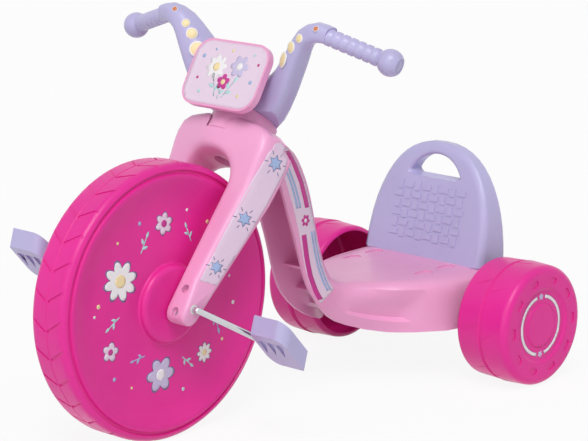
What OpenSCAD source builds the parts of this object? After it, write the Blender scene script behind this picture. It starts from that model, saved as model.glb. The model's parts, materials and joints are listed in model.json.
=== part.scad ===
// Low rider tricycle: a big driven front wheel, a raked fork, a moulded
// channel frame with a low seat, and two wide rear wheels.
// Lengths are in millimetres. X points forward, Y to the rider's left, Z up.
// The origin is on the ground, under the middle of the tricycle.

/* [Wheels] */
// Diameter of the front wheel over its tread
front_wheel_d = 381; // [360:1:400]
// Width of the front wheel over its two sidewalls
front_wheel_w = 70; // [68:0.5:72]
// Diameter of each rear wheel over its tread
rear_wheel_d = 180; // [172:1:186]
// Width of each rear wheel
rear_wheel_w = 92; // [88:0.5:94]
// Distance from the front axle to the rear axle
wheelbase = 551; // [540:1:565]
// Gap between the side of the seat and a rear wheel
wheel_clear = 13.5; // [12:0.5:18]
// Wall of the hollow wheels
wheel_wall = 4; // [3.5:0.1:4.5]
// Number of diagonal grooves in each half of the front tread
front_grooves = 30; // [24:1:36]
// Number of recessed pads round the face of a rear wheel
rear_pads = 10; // [8:1:12]
// Diameter of the rear axle rod
rear_axle_d = 10; // [9:0.5:11]

/* [Fork and steering] */
// Lean of the steering axis back from the vertical, in degrees
rake = 39; // [37:0.5:41]
// Clear width between the fork legs
fork_gap = 84; // [83:0.5:88]
// Width of a fork leg at the axle, across the tricycle
fork_leg_w = 38; // [34:0.5:40]
// Extra width of the fork at its shoulders, each side
fork_flare = 17; // [14:0.5:19]
// Depth of a fork leg at the axle, from front to back
fork_leg_depth = 32; // [30:0.5:35]
// Depth of the fork at its crown, from front to back
fork_crown_depth = 52; // [48:0.5:56]
// Gap between the front tread and the crown
crown_gap = 28; // [25:0.5:31]
// Thickness of the crown under the steering head
crown_t = 29; // [26:0.5:32]
// Height of the shoulders beside the steering head
shoulder_h = 27; // [23:0.5:30]
// Diameter of the steering head
head_d = 92; // [88:0.5:94]
// Height of the steering head
head_h = 42; // [40:0.5:46]
// Diameter of the steering post
post_d = 20; // [18:0.5:22]
// Half the angle through which the handlebar turns, in degrees
steer_limit = 40; // [30:1:42]

/* [Crank and pedals] */
// Diameter of the crank rod
crank_d = 9; // [8:0.5:10]
// Throw of the crank
crank_r = 90; // [84:1:94]
// Distance of the middle of the left pedal from the middle of the wheel
pedal_left_y = 162.5; // [160:0.5:168]
// Distance of the middle of the right pedal from the middle of the wheel
pedal_right_y = 147; // [145:0.5:152]
// Angle of the left crank arm from straight ahead, in degrees
crank_angle = 212; // [200:1:225]
// Length of a pedal along its spindle
pedal_l = 60; // [57:0.5:63]
// Length of a pedal across its spindle, square to its walls
pedal_w = 57; // [54:0.5:61]
// Thickness of a pedal
pedal_t = 22; // [21.5:0.5:24]
// Distance of the middle of a pedal above its spindle, square to its treads
pedal_rise = 2; // [1:0.25:2.25]
// Lean of the treads of the pedals from level, front edge up, in degrees
pedal_lean = 48; // [44:1:52]
// Lean of the walls of the pedals from upright, in degrees
pedal_wall_lean = 16; // [12:1:20]

/* [Body and seat] */
// Height of the crown of the seat above the ground
seat_h = 155; // [150:1:160]
// Width of the seat
seat_w = 262; // [256:1:266]
// Depth of the side of the seat below the middle of the rear axle
axle_cover = 12; // [10:0.5:14]
// Width of the neck between the head and the seat
neck_w = 60; // [56:0.5:62]
// Wall of the moulded frame
body_wall = 4.5; // [4:0.1:5]
// Reach of the frame behind the rear axle
body_tail = 64; // [60:1:68]

/* [Seat back] */
// Ledge of the seat at each side of the seat back
seat_ledge = 14; // [12:0.5:18]
// Height of the seat back over the seat
seat_back_h = 168; // [160:1:176]
// Depth of the seat back at its foot
seat_back_foot = 62; // [58:1:66]
// Depth of the seat back at its top
seat_back_top = 19; // [17:0.5:23]
// Lean of the seat back, in degrees
seat_back_lean = 14.5; // [11:0.5:16]
// Width of the hand hole
hand_hole_w = 96; // [88:1:98]
// Height of the hand hole
hand_hole_h = 34; // [30:0.5:37]

/* [Handlebar and plate] */
// Distance between the two bends of the handlebar
bar_bend_span = 280; // [268:1:292]
// Height of the bends over the steering head
bar_rise = 134; // [127:1:141]
// Diameter of the grips
grip_d = 24; // [22:0.5:26]
// Diameter of the knob at the end of a grip
knob_d = 37; // [34:0.5:40]
// Length from a bend to the middle of its knob
grip_l = 113; // [105:1:120]
// Number of ribs on a grip
grip_ribs = 7; // [5:1:8]
// Height of the front plate
plate_h = 98; // [92:1:102]
// Thickness of the front plate
plate_t = 10; // [9:0.5:12]
// Lean of the front plate back from the vertical, in degrees
plate_lean = 30; // [26:1:34]

/* [Hidden] */
$fn = 64;
// Facets round a lofted section
section_n = 20;
// Overrun of a cut past the face that it opens
over = 1;
// Gap between bodies that move on each other
gap = 0.3;
// Radial clearance of a turning shaft
run = 0.05;
// Radial clearance of a part that is pressed or screwed home
snug = 0.03;

front_r = front_wheel_d / 2;
rear_r = rear_wheel_d / 2;
front_x = (wheelbase + rear_r - front_r) / 2;
rear_x = front_x - wheelbase;
crank_rad = crank_d / 2;
post_r = post_d / 2;
head_r = head_d / 2;
axle_r = rear_axle_d / 2;
rear_track = seat_w + 2 * wheel_clear + rear_wheel_w;
seat_side_h = seat_h - rear_r + axle_cover;
seat_back_w = seat_w - 2 * seat_ledge;
plate_w_share = 0.5;
plate_w = bar_bend_span * plate_w_share;

// Heights along the steering axis, from the front axle
arch_t = front_r + crown_gap;
head_foot_t = arch_t + crown_t;
head_top_t = head_foot_t + head_h;
shoulder_t = head_foot_t + shoulder_h;
fork_out = fork_gap / 2 + fork_leg_w;

// Bushes, screws and small hardware
bush_wall = 2;
head_bush_wall = 4;
head_flange_r = post_r + 2 * head_bush_wall;
head_flange_t = 3;
bush_share = 0.38;
post_head_lip = 5;
post_head_r = post_r + post_head_lip;
post_head_t = 6;
post_head_sink = 9;
washer_t = 1.5;
nut_h = 9;
screw_d = 5;
screw_head_d = 8.5;
screw_head_h = 3.5;
screw_sink = 7;
screw_well_d = 12;
cap_screw_shares = [0.66, -0.39];

// General shapes

function sgn_pow(v, p) = sign(v) * pow(abs(v), p);

// A rounded section about c, with half sizes a along u and b along v
function ring(c, u, v, a, b, e) = [for (i = [0 : section_n - 1])
    let (w = 360 * (i + 0.5) / section_n)
    c + u * a * sgn_pow(cos(w), 2 / e) + v * b * sgn_pow(sin(w), 2 / e)];

function unit(v) = v / norm(v);

// A point of a smooth curve through the rows of a table, at place s
function spline(rows, s) =
    let (
        n = len(rows) - 1,
        i = min(floor(s), n - 1),
        f = s - i,
        p0 = rows[max(i - 1, 0)],
        p1 = rows[i],
        p2 = rows[i + 1],
        p3 = rows[min(i + 2, n)]
    )
    p1 + (f * (p2 - p0) + f * f * (2 * p0 - 5 * p1 + 4 * p2 - p3)
        + f * f * f * (3 * p1 - p0 - 3 * p2 + p3)) / 2;

function sum(v, i = 0) = i < len(v) - 1 ? v[i] + sum(v, i + 1) : v[i];
function centre(r) = sum(r) / len(r);
function ring_normal(r) =
    let (c = centre(r), n = len(r))
    sum([for (i = [0 : n - 1]) cross(r[i] - c, r[(i + 1) % n] - c)]);

// A closed skin through rings of equal length, with flat ends. The ends of a channel
// are strips between the two skins of its ring
module loft(rings, channel = false) {
    n = len(rings[0]);
    m = len(rings);
    end = channel ? [for (j = [0 : n / 2 - 2]) [j, j + 1, n - 2 - j, n - 1 - j]]
        : [[for (j = [0 : n - 1]) j]];
    turned = ring_normal(rings[0]) * (centre(rings[1]) - centre(rings[0])) < 0;
    polyhedron(
        points = [for (r = rings, j = [0 : n - 1]) r[turned ? n - 1 - j : j]],
        faces = concat(
            end,
            [for (i = [0 : m - 2], j = [0 : n - 1])
                each [[i * n + j, (i + 1) * n + j, (i + 1) * n + (j + 1) % n],
                    [i * n + j, (i + 1) * n + (j + 1) % n, i * n + (j + 1) % n]]],
            [for (f = end) [for (j = [len(f) - 1 : -1 : 0]) (m - 1) * n + f[j]]]),
        convexity = 6);
}

module tube(outer_r, inner_r, h) {
    difference() {
        cylinder(r = outer_r, h = h);
        translate([0, 0, -over])
            cylinder(r = inner_r, h = h + 2 * over);
    }
}

module rounded_rect(w, h, r) {
    square([w - 2 * r, h], center = true);
    square([w, h - 2 * r], center = true);
    for (x = [-1, 1], y = [-1, 1])
        translate([x * (w / 2 - r), y * (h / 2 - r)])
            circle(r);
}

// Frames: along Y to a side, at an axle, and on the steering axis

module along_y(side) {
    rotate([-90 * side, 0, 0])
        children();
}

module at_front_axle() {
    translate([front_x, 0, front_r])
        children();
}

module at_rear_axle() {
    translate([rear_x, 0, rear_r])
        children();
}

module steered() {
    translate([front_x, 0, front_r])
        rotate([0, -rake, 0])
            children();
}

module on_bar() {
    steered()
        translate([0, 0, head_top_t])
            rotate([0, rake, 0])
                children();
}

// A point on the steering axis's side plane, n forward of it and t up it
function side_point(n, t) = [
    front_x + n * cos(rake) - t * sin(rake),
    front_r + n * sin(rake) + t * cos(rake)];

// Body: a channel, open below, from the head down the neck to the seat

head_mid_share = 0.65;
head_mid_n = head_r * head_mid_share;
neck_inset = 2;
seat_front_share = 0.325;
seat_front_x = rear_x + wheelbase * seat_front_share;
neck_top = side_point(-head_mid_n, head_top_t - neck_inset);
neck_lip = side_point(-head_mid_n, head_foot_t + neck_inset);
seat_lip_z = seat_h - seat_side_h;
tail_x = rear_x - body_tail;
neck_drop = neck_top[1] - seat_h;
neck_run = neck_top[0] - seat_front_x;
lip_drop = neck_lip[1] - seat_lip_z;
lip_run = neck_lip[0] - seat_front_x;
seat_run = seat_front_x - tail_x;

// Rows down the neck: back along and down, lip along and down, as shares
neck_shares = [
    [0, 0, 0, 0],
    [0.135, 0.06, 0.09, 0.05],
    [0.295, 0.145, 0.165, 0.09],
    [0.395, 0.25, 0.18, 0.14],
    [0.48, 0.385, 0.23, 0.235],
    [0.535, 0.53, 0.29, 0.35],
    [0.59, 0.70, 0.35, 0.46],
    [0.65, 0.83, 0.40, 0.57],
    [0.735, 0.945, 0.46, 0.69],
    [0.85, 0.99, 0.55, 0.785],
    [1, 1, 0.69, 0.88]];
neck_width_shares = [1.04, 1.06, 1.06, 1.06, 1.05, 1.05, 1.06, 1.07, 1.11, 1.2, 1.45];
// Rows along the seat: back along, lip along, half widths of back and lip
seat_shares = [
    [0.13, -0.085, 0.34, 0.135],
    [0.27, 0.125, 0.43, 0.25],
    [0.48, 0.40, 0.478, 0.47],
    [0.72, 0.70, 0.495, 0.497],
    [0.93, 0.915, 0.497, 0.497],
    [0.985, 0.985, 0.48, 0.485]];
tail_dip_share = 0.06;
lip_w_share = 1.12;
lip_rise_share = 0.05;
tail_wall_shares = [0.3, 0.05];
tail_depth_share = 0.9;
// Cross ribs in the bend of the neck
rib_rows = [7.4, 9.1];
rib_row_step = 0.12;
rib_share = 0.6;
neck_e = 5;
seat_e = 7.5;
flat_rows = [8.5, 11];
rows_per_step = 2;

body_rows = concat(
    [for (i = [0 : len(neck_shares) - 1])
        let (s = neck_shares[i], w = neck_w / 2 * neck_width_shares[i])
        [neck_top[0] - s[0] * neck_run, neck_top[1] - s[1] * neck_drop,
            neck_lip[0] - s[2] * lip_run, neck_lip[1] - s[3] * lip_drop, w,
            i < len(neck_shares) - 1 ? w : neck_w / 2 * lip_w_share]],
    [for (i = [0 : len(seat_shares) - 1])
        let (s = seat_shares[i])
        [seat_front_x - s[0] * seat_run,
            seat_h - (i == len(seat_shares) - 1 ? tail_dip_share * seat_side_h : 0),
            seat_front_x - s[1] * seat_run,
            seat_lip_z + (i == 0 ? lip_rise_share * lip_drop : 0),
            s[2] * seat_w, s[3] * seat_w]]);

// Height shares of the points down one side of a section, from the lip up
side_shares = [1, 0.86, 0.8, 0.72, 0.58, 0.44, 0.3, 0.17, 0.085, 0.03, 0.008];
// How far each of these points follows the scoop in the side of the seat
scoop_shares = [0, 0, 0, 1, 0.9, 0.6, 0.25, 0, 0, 0, 0];
scoop_rows = [10.1, 11.2, 12.2, 12.34];
scoop_share = 0.036;
scoop_depth = seat_w * scoop_share;

function scoop(s) = scoop_depth * (s <= scoop_rows[0] || s >= scoop_rows[3] ? 0
    : s < scoop_rows[1] ? pow(sin(90 * (s - scoop_rows[0]) / (scoop_rows[1] - scoop_rows[0])), 2)
    : s <= scoop_rows[2] ? 1 : (scoop_rows[3] - s) / (scoop_rows[3] - scoop_rows[2]));

// Squareness of the section at row s, and its width at a share d of its height
function channel_e(s) = neck_e + (seat_e - neck_e)
    * min(max((s - flat_rows[0]) / (flat_rows[1] - flat_rows[0]), 0), 1);
function round_off(d, e) = pow(1 - pow(1 - d, e), 1 / e);

// One skin of a section, from lip to lip, at an inset from the outer one
function skin(s, inset) =
    let (
        r = spline(body_rows, s),
        back = [r[0], 0, r[1]],
        down = [r[2], 0, r[3]] - back,
        top = inset / norm(down),
        n = len(side_shares) - 1,
        half = [for (i = [0 : n])
            let (d = side_shares[i])
            [top + (1 - top) * d,
                (r[4] + (r[5] - r[4]) * d - inset - scoop(s) * scoop_shares[i])
                    * round_off(d, channel_e(s))]]
    )
    concat(
        [for (i = [0 : n]) back + down * half[i][0] + [0, half[i][1], 0]],
        [back + down * top],
        [for (i = [n : -1 : 0]) back + down * half[i][0] - [0, half[i][1], 0]]);

// One channel section: the outer skin from lip to lip, then the inner skin back
function channel_ring(s) =
    let (inner = skin(s, body_wall))
    concat(skin(s, 0), [for (i = [len(inner) - 1 : -1 : 0]) inner[i]]);

// A cross wall in the channel, as deep as a share of its height
function wall_ring(s, share) =
    let (outer = skin(s, body_wall / 2))
    [for (i = [0 : len(outer) - 1])
        let (k = i < len(side_shares) ? i : len(outer) - 1 - i)
        if (k >= len(side_shares) || side_shares[k] <= share) outer[i]];

// Height of the seat's top at a distance y from its middle line
seat_half = seat_shares[3][2] * seat_w;
function seat_top(y) =
    seat_h - seat_side_h * (1 - pow(1 - pow(min(abs(y) / seat_half, 1), seat_e), 1 / seat_e));

// The head, a drum with a seat for a bush at each end
boss_r = post_r + head_bush_wall;
module head_drum() {
    h = head_h - gap;
    rotate_extrude()
        polygon([
            [head_r, 0], [head_r, h], [head_flange_r, h], [head_flange_r, h - head_flange_t],
            [boss_r, h - head_flange_t], [boss_r, head_flange_t],
            [head_flange_r, head_flange_t], [head_flange_r, 0]]);
}

// Oval dents in the seat, in two rows
dent_y_share = 0.272;
dent_y = seat_w * dent_y_share;
dent_x_shares = [0.045, 0.135];
dent_r = 9;
dent_long = 7;
dent_depth = 2.5;
module seat_dents() {
    for (s = dent_x_shares, side = [-1, 1])
        translate([rear_x + s * wheelbase, side * dent_y, seat_top(dent_y) - dent_depth])
            linear_extrude(dent_depth + seat_side_h)
                rounded_rect(2 * (dent_r + dent_long), 2 * dent_r, dent_r - gap);
}

// Tabs of the seat back, in slots of the seat
tab_y_share = 0.235;
tab_y = seat_w * tab_y_share;
tab_w = 24;
tab_t = 10;
tab_in = 14;
seat_back_ahead = 2;
seat_back_x = rear_x + seat_back_ahead;
hollow_wall = 5;
tab_x = seat_back_x - hollow_wall + over - tab_t / 2;
module seat_tabs(grow) {
    for (side = [-1, 1])
        translate([tab_x, side * tab_y,
            seat_top(tab_y) - body_wall - over])
            linear_extrude(tab_in)
                square([tab_t + 2 * grow, tab_w + 2 * grow], center = true);
}

// Places of the sections along the body, with two more at the end of the scoop
last_row = rows_per_step * (len(body_rows) - 1);
scoop_end = scoop_rows[2] * rows_per_step;
body_steps = concat(
    [for (k = [0 : last_row]) if (k < scoop_end) k / rows_per_step],
    [scoop_rows[2], scoop_rows[3]],
    [for (k = [0 : last_row]) if (k > scoop_end) k / rows_per_step]);

module body() {
    color("pink")
        difference() {
            union() {
                loft([for (k = body_steps) channel_ring(k)], channel = true);
                loft([for (k = tail_wall_shares)
                    wall_ring(len(body_rows) - 1 - k, tail_depth_share)]);
                for (k = rib_rows)
                    loft([for (d = [0, rib_row_step]) wall_ring(k + d, rib_share)]);
                steered()
                    translate([0, 0, head_foot_t + gap])
                        head_drum();
            }
            at_rear_axle()
                along_y(1)
                    cylinder(r = axle_r + bush_wall + snug, h = seat_w + 2 * over, center = true);
            seat_dents();
            seat_tabs(run);
        }
}

// Flanged plain bush in the head, flange at its foot
module head_bush() {
    tube(head_flange_r - snug, post_r + run, head_flange_t - snug);
    tube(boss_r - snug, post_r + run, head_h * bush_share);
}

module head_bush_upper() {
    color("white")
        steered()
            translate([0, 0, head_top_t])
                mirror([0, 0, 1])
                    head_bush();
}

module head_bush_lower() {
    color("white")
        steered()
            translate([0, 0, head_foot_t + gap])
                head_bush();
}

// Seat back: a leaning arch on the crown of the seat

arch_n = 24;
foot_n = 24;
foot_share = 0.97;
arch_e = 2.35;
hole_top_gap = 18;
hole_arc_share = 0.57;
hole_corner_share = 0.25;
// Places through the depth, with the inset of the outline there
seat_back_rings = [[0, 12], [0.05, 6.5], [0.13, 2.2], [0.24, 0], [0.86, 0], [0.96, 3], [1, 8]];

function back_x(z, f) =
    let (k = (z - seat_h) / seat_back_h)
    seat_back_x - (z - seat_h) * tan(seat_back_lean)
        - f * (seat_back_foot + (seat_back_top - seat_back_foot) * k);

function back_ring(f, inset) =
    let (hw = seat_back_w / 2 - inset, h = seat_back_h - inset)
    [for (p = concat(
        [for (i = [0 : arch_n])
            let (a = 180 * i / arch_n)
            [hw * sgn_pow(cos(a), 2 / arch_e), seat_h + h * sgn_pow(sin(a), 2 / arch_e)]],
        [for (i = [0 : foot_n])
            let (y = hw * sin(180 * i / foot_n - 90) * foot_share)
            [y, seat_top(y) + 2 * gap]]))
        [back_x(p[1], f), p[0], p[1]]];

hole_bottom = seat_h + seat_back_h - hole_top_gap - hand_hole_h;
module hand_hole() {
    arc_r = hand_hole_w * hole_arc_share;
    translate([seat_back_x, 0, hole_bottom])
        rotate([90, 0, 90])
            linear_extrude(2 * (seat_back_foot + seat_back_h), center = true)
                intersection() {
                    translate([0, hand_hole_h / 2])
                        rounded_rect(hand_hole_w, hand_hole_h, hand_hole_h * hole_corner_share);
                    translate([0, hand_hole_h - arc_r])
                        circle(arc_r);
                }
}

// The hollow of the seat back, open at its foot
hollow_shares = [[-0.46, -0.2], [0.46, -0.2], [0.45, 0.3], [0.36, 0.54], [0.26, 0.64],
    [-0.26, 0.64], [-0.36, 0.54], [-0.45, 0.3]];
module seat_back_hollow() {
    loft([for (side = [1, -1])
        [for (s = hollow_shares)
            let (z = seat_h + s[1] * seat_back_h)
            [back_x(z, side > 0 ? 0 : 1) - side * hollow_wall, s[0] * seat_back_w, z]]]);
}

// Basket weave on the front face, of strips that lie across and up by turns
weave_cols = 8;
weave_rows = 6;
weave_w_share = 0.58;
weave_z_shares = [0.14, 0.66];
weave_proud = 1.2;
strip_share = 0.56;
cell_share = 0.94;
module weave() {
    cell_w = seat_back_w * weave_w_share / weave_cols;
    cell_h = seat_back_h * (weave_z_shares[1] - weave_z_shares[0]) / weave_rows;
    translate([seat_back_x, 0, seat_h])
        rotate([90, 0, 90])
            rotate([-seat_back_lean, 0, 0])
                translate([0, 0, -over])
                    linear_extrude(over + weave_proud)
                        for (i = [0 : weave_cols - 1], j = [0 : weave_rows - 1])
                            translate([(i - (weave_cols - 1) / 2) * cell_w,
                                seat_back_h * weave_z_shares[0] + (j + 0.5) * cell_h])
                                square((i + j) % 2 == 0
                                    ? [cell_w * cell_share, cell_h * strip_share]
                                    : [cell_w * strip_share, cell_h * cell_share], center = true);
}

module seat_back() {
    color("plum")
        difference() {
            union() {
                difference() {
                    loft([for (r = seat_back_rings) back_ring(r[0], r[1])]);
                    seat_back_hollow();
                }
                weave();
                intersection() {
                    seat_tabs(0);
                    translate([seat_back_x - seat_back_foot, -seat_w / 2, 0])
                        cube([seat_back_foot, seat_w, seat_h + tab_in]);
                }
            }
            hand_hole();
            seat_screw_places()
                translate([0, 0, -over])
                    cylinder(d = screw_d, h = tab_in);
        }
}

seat_screw_head_r = 9;
module seat_screw_places() {
    for (side = [-1, 1])
        translate([tab_x, side * tab_y,
            seat_top(tab_y) - body_wall - over])
            children();
}

module seat_screws() {
    color("silver")
        seat_screw_places()
            union() {
                translate([0, 0, -screw_head_h])
                    cylinder(r = seat_screw_head_r, h = screw_head_h);
                cylinder(d = screw_d, h = tab_in - over);
            }
}

// Rear axle and wheels

rear_hw = rear_wheel_w / 2;
wheel_y = rear_track / 2;
rear_edge_r = 11;
inner_edge_r = 7;
tread_drop = 1.5;
seam_step = 1;
rear_rim_w = 20;
face_in = 5;
face_run = 7;
rear_seam_w = 4;
rear_seam_in = 2.5;
cap_r = 33;
cap_t = 4;
cap_dome_share = 1.6;
nut_pocket_r = 12;
nut_pocket_h = 10;
hub_inset = 2;
hub_bore_r = axle_r + run;
face_z = rear_hw - face_in;
cap_seat_z = face_z - cap_t;
nut_z = cap_seat_z - nut_pocket_h;
rim_in_r = rear_r - tread_drop - rear_edge_r - rear_rim_w;

function arc(cx, cy, r, a0, a1, n) = [for (i = [0 : n])
    let (a = a0 + (a1 - a0) * i / n) [cx + r * cos(a), cy + r * sin(a)]];
arc_n = 5;

module rear_outer_profile() {
    edge_c = [rear_r - tread_drop - rear_edge_r, rear_hw - rear_edge_r];
    polygon(concat(
        [[rear_r - rear_seam_in, 0], [rear_r - rear_seam_in, rear_seam_w / 2],
            [rear_r, rear_seam_w]],
        arc(edge_c[0], edge_c[1], rear_edge_r, 0, 90, arc_n),
        [[rim_in_r, rear_hw], [rim_in_r - face_run, face_z],
            [cap_r, face_z], [cap_r, cap_seat_z],
            [nut_pocket_r, cap_seat_z], [nut_pocket_r, nut_z],
            [hub_bore_r, nut_z], [hub_bore_r, hub_inset - rear_hw],
            [hub_bore_r + wheel_wall, hub_inset - rear_hw],
            [hub_bore_r + wheel_wall, nut_z - wheel_wall],
            [nut_pocket_r + wheel_wall, nut_z - wheel_wall],
            [nut_pocket_r + wheel_wall, cap_seat_z - wheel_wall],
            [cap_r + wheel_wall, cap_seat_z - wheel_wall],
            [cap_r + wheel_wall, face_z - wheel_wall],
            [rim_in_r - face_run, face_z - wheel_wall],
            [rim_in_r, rear_hw - wheel_wall]],
        arc(edge_c[0], edge_c[1], rear_edge_r - wheel_wall, 90, 0, arc_n),
        [[rear_r - rear_seam_in - wheel_wall, 0]]));
}

module rear_inner_profile() {
    r = rear_r - seam_step;
    edge_c = [r - tread_drop - inner_edge_r, inner_edge_r - rear_hw];
    polygon(concat(
        [[r - rear_seam_in - wheel_wall, 0], [r - rear_seam_in, 0],
            [r - rear_seam_in, -rear_seam_w / 2], [r, -rear_seam_w]],
        arc(edge_c[0], edge_c[1], inner_edge_r, 0, -90, arc_n),
        [[edge_c[0], wheel_wall - rear_hw]],
        arc(edge_c[0], edge_c[1], inner_edge_r - wheel_wall, -90, 0, arc_n)));
}

// Shallow diagonal grooves across half a tread of radius r, between two places
module grooves(n, r, z0, z1, w, depth, slant) {
    for (i = [0 : n - 1])
        rotate([0, 0, 360 * i / n])
            translate([r, 0, (z0 + z1) / 2])
                rotate([slant, 0, 0])
                    cube([2 * depth, w, (z1 - z0) / cos(slant)], center = true);
}

rear_groove_w = 2.5;
rear_groove_depth = 1.2;
rear_groove_slant = 28;
rear_grooves = 8;
pad_w = 9;
pad_l = 17;
pad_corner = 4;
pad_depth = 1.5;

module rear_outer(side) {
    color("deeppink")
        at_rear_axle()
            translate([0, side * wheel_y, 0])
                along_y(side)
                    difference() {
                        rotate_extrude()
                            rear_outer_profile();
                        grooves(rear_grooves, rear_r, rear_seam_w, rear_hw, rear_groove_w,
                            rear_groove_depth, rear_groove_slant);
                        for (i = [0 : rear_pads - 1])
                            rotate([0, 0, 360 * i / rear_pads])
                                translate([rim_in_r + rear_rim_w / 2, 0, rear_hw - pad_depth])
                                    linear_extrude(2 * pad_depth)
                                        rounded_rect(pad_w, pad_l, pad_corner);
                    }
}

module rear_inner(side) {
    color("deeppink")
        at_rear_axle()
            translate([0, side * wheel_y, 0])
                along_y(side)
                    difference() {
                        rotate_extrude()
                            rear_inner_profile();
                        grooves(rear_grooves, rear_r - seam_step, -rear_hw, -rear_seam_w, rear_groove_w,
                            rear_groove_depth, rear_groove_slant);
                    }
}

module rear_cap(side) {
    color("hotpink")
        at_rear_axle()
            translate([0, side * wheel_y, 0])
                along_y(side)
                    translate([0, 0, cap_seat_z])
                        rotate_extrude()
                            polygon([[0, 0], [cap_r - run, 0], [cap_r - run, cap_t],
                                [cap_r - cap_t, cap_t * cap_dome_share], [0, cap_t * cap_dome_share]]);
}

module rear_wheel_left_outer() { rear_outer(1); }
module rear_wheel_left_inner() { rear_inner(1); }
module rear_cap_left() { rear_cap(1); }
module rear_wheel_right_outer() { rear_outer(-1); }
module rear_wheel_right_inner() { rear_inner(-1); }
module rear_cap_right() { rear_cap(-1); }

push_nut_h = 6;
axle_end = wheel_y + nut_z + gap + push_nut_h;
module rear_axle() {
    color("silver")
        at_rear_axle()
            along_y(1)
                cylinder(r = axle_r, h = 2 * axle_end, center = true);
}

module axle_push_nuts() {
    color("silver")
        at_rear_axle()
            for (side = [-1, 1])
                along_y(side)
                    translate([0, 0, wheel_y + nut_z + gap])
                        tube(nut_pocket_r - over, axle_r + snug, push_nut_h);
}

// Flanged bush in the side of the body, with a nose that spaces the wheel
bush_flange_r = 12;
bush_flange_t = 2.5;
nose_r = axle_r + bush_wall + over;
hub_foot_y = wheel_y - rear_hw + hub_inset;
body_side_y = seat_shares[3][3] * seat_w;
module axle_bush(side) {
    color("white")
        at_rear_axle()
            along_y(side)
                difference() {
                    union() {
                        translate([0, 0, body_side_y - 2 * body_wall])
                            cylinder(r = axle_r + bush_wall, h = 3 * body_wall);
                        translate([0, 0, body_side_y + over / 2])
                            cylinder(r = bush_flange_r, h = bush_flange_t);
                        translate([0, 0, body_side_y + over])
                            cylinder(r = nose_r, h = hub_foot_y - body_side_y - over - washer_t - gap);
                    }
                    cylinder(r = axle_r + snug, h = wheel_y);
                }
}
module axle_bush_left() { axle_bush(1); }
module axle_bush_right() { axle_bush(-1); }

module axle_washers() {
    color("silver")
        at_rear_axle()
            for (side = [-1, 1])
                along_y(side)
                    translate([0, 0, hub_foot_y - washer_t - gap])
                        tube(nose_r, axle_r + snug, washer_t);
}

// Fork: one arch from axle to axle, lofted in the steering frame

leg_end_share = 0.72;
leg_end = fork_leg_depth * leg_end_share;
arch_c = arch_t - fork_gap / 2;
front_share = 0.42;
fork_e = 5;
fork_top_e = 7;
fork_arch_e = 2.6;
fork_draft = 15;
fork_draft_e = 0.25;
// How far the crown reaches forward, to under the head
crown_nose = head_r - fork_crown_depth * front_share;
toe_w_share = 0.72;
toe_e = 2.6;
toe_shares = [0.997, 0.96, 0.87, 0.7, 0.4, 0];
leg_shares = [0.2, 0.5, 0.8];
arch_steps = 24;

function fork_depth(t) = fork_leg_depth
    + (fork_crown_depth - fork_leg_depth) * min(max(t, 0) / arch_t, 1);
function fork_mid(t) = fork_depth(t) * (front_share - 0.5);
function fork_side(t) = fork_out + fork_flare * min(max(t, 0) / arch_c, 1);

// A ring with its outer front corner drawn in along u by a draft, between the inner and outer
// distances from the point o
function drafted(r, o, u, inner, outer, t, draft) =
    [for (p = r)
        let (
            out = ((p - o) * u - inner) / (outer - inner),
            fore = (p[0] - fork_mid(t)) / fork_depth(t) + 1 / 2
        )
        p - u * draft * out * fore];

// A section of the left leg at height t, rounded off below the axle
function leg_ring(t) =
    let (
        inner = fork_gap / 2,
        outer = fork_side(t),
        k = t < 0 ? pow(1 - pow(-t / leg_end, toe_e), 1 / toe_e) : 1
    )
    drafted(ring([fork_mid(t), (inner + outer) / 2, t], [0, 1, 0], [1, 0, 0],
        (outer - inner) / 2 * (toe_w_share + (1 - toe_w_share) * k), fork_depth(t) / 2 * k, fork_e),
        [0, 0, t], [0, 1, 0], inner, outer, t, fork_draft * pow(min(max(t, 0) / arch_c, 1), fork_draft_e));

// A section of the arch, on a ray at angle a from the left leg
function arch_ring(a) =
    let (
        w = fork_out + fork_flare,
        h = shoulder_t - arch_c,
        ro = 1 / pow(pow(abs(cos(a)) / w, fork_top_e) + pow(sin(a) / h, fork_top_e), 1 / fork_top_e),
        ri = fork_gap / 2 / pow(pow(abs(cos(a)), fork_arch_e) + pow(sin(a), fork_arch_e), 1 / fork_arch_e),
        t = arch_c + (ri + ro) / 2 * sin(a),
        nose = crown_nose * pow(sin(a), 2)
    )
    drafted(ring([fork_mid(t) + nose / 2, (ri + ro) / 2 * cos(a), t], [0, cos(a), sin(a)], [1, 0, 0],
        (ro - ri) / 2, (fork_depth(t) + nose) / 2, fork_e),
        [0, 0, arch_c], [0, cos(a), sin(a)], ri, ro, t, fork_draft * pow(cos(a), 2));

function mirror_y(r) = [for (p = r) [p[0], -p[1], p[2]]];

toe_rings = [for (s = toe_shares) leg_ring(-s * leg_end)];
leg_rings = concat(toe_rings, [for (s = leg_shares) leg_ring(s * arch_c)]);
fork_rings = concat(leg_rings,
    [for (i = [0 : arch_steps]) arch_ring(180 * i / arch_steps)],
    [for (i = [len(leg_rings) - 1 : -1 : 0]) mirror_y(leg_rings[i])]);

cap_top_share = 1.15;
cap_top = leg_end * cap_top_share;
screw_seat_share = 0.18;
screw_seat_n = fork_leg_depth * screw_seat_share;
screw_in_share = 0.62;
screw_l_share = 0.6;
head_ease = 2;

// The part of a leg's foot behind the axle, which comes off as a cap
module cap_zone(side) {
    translate([-fork_crown_depth, side > 0 ? 0 : -fork_out - fork_flare, -2 * leg_end])
        cube([fork_crown_depth, fork_out + fork_flare, cap_top + 2 * leg_end]);
}

module crank_bores() {
    rotate([90, 0, 0])
        cylinder(r = crank_rad + bush_wall + snug, h = 2 * (fork_out + fork_flare), center = true);
}

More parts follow.
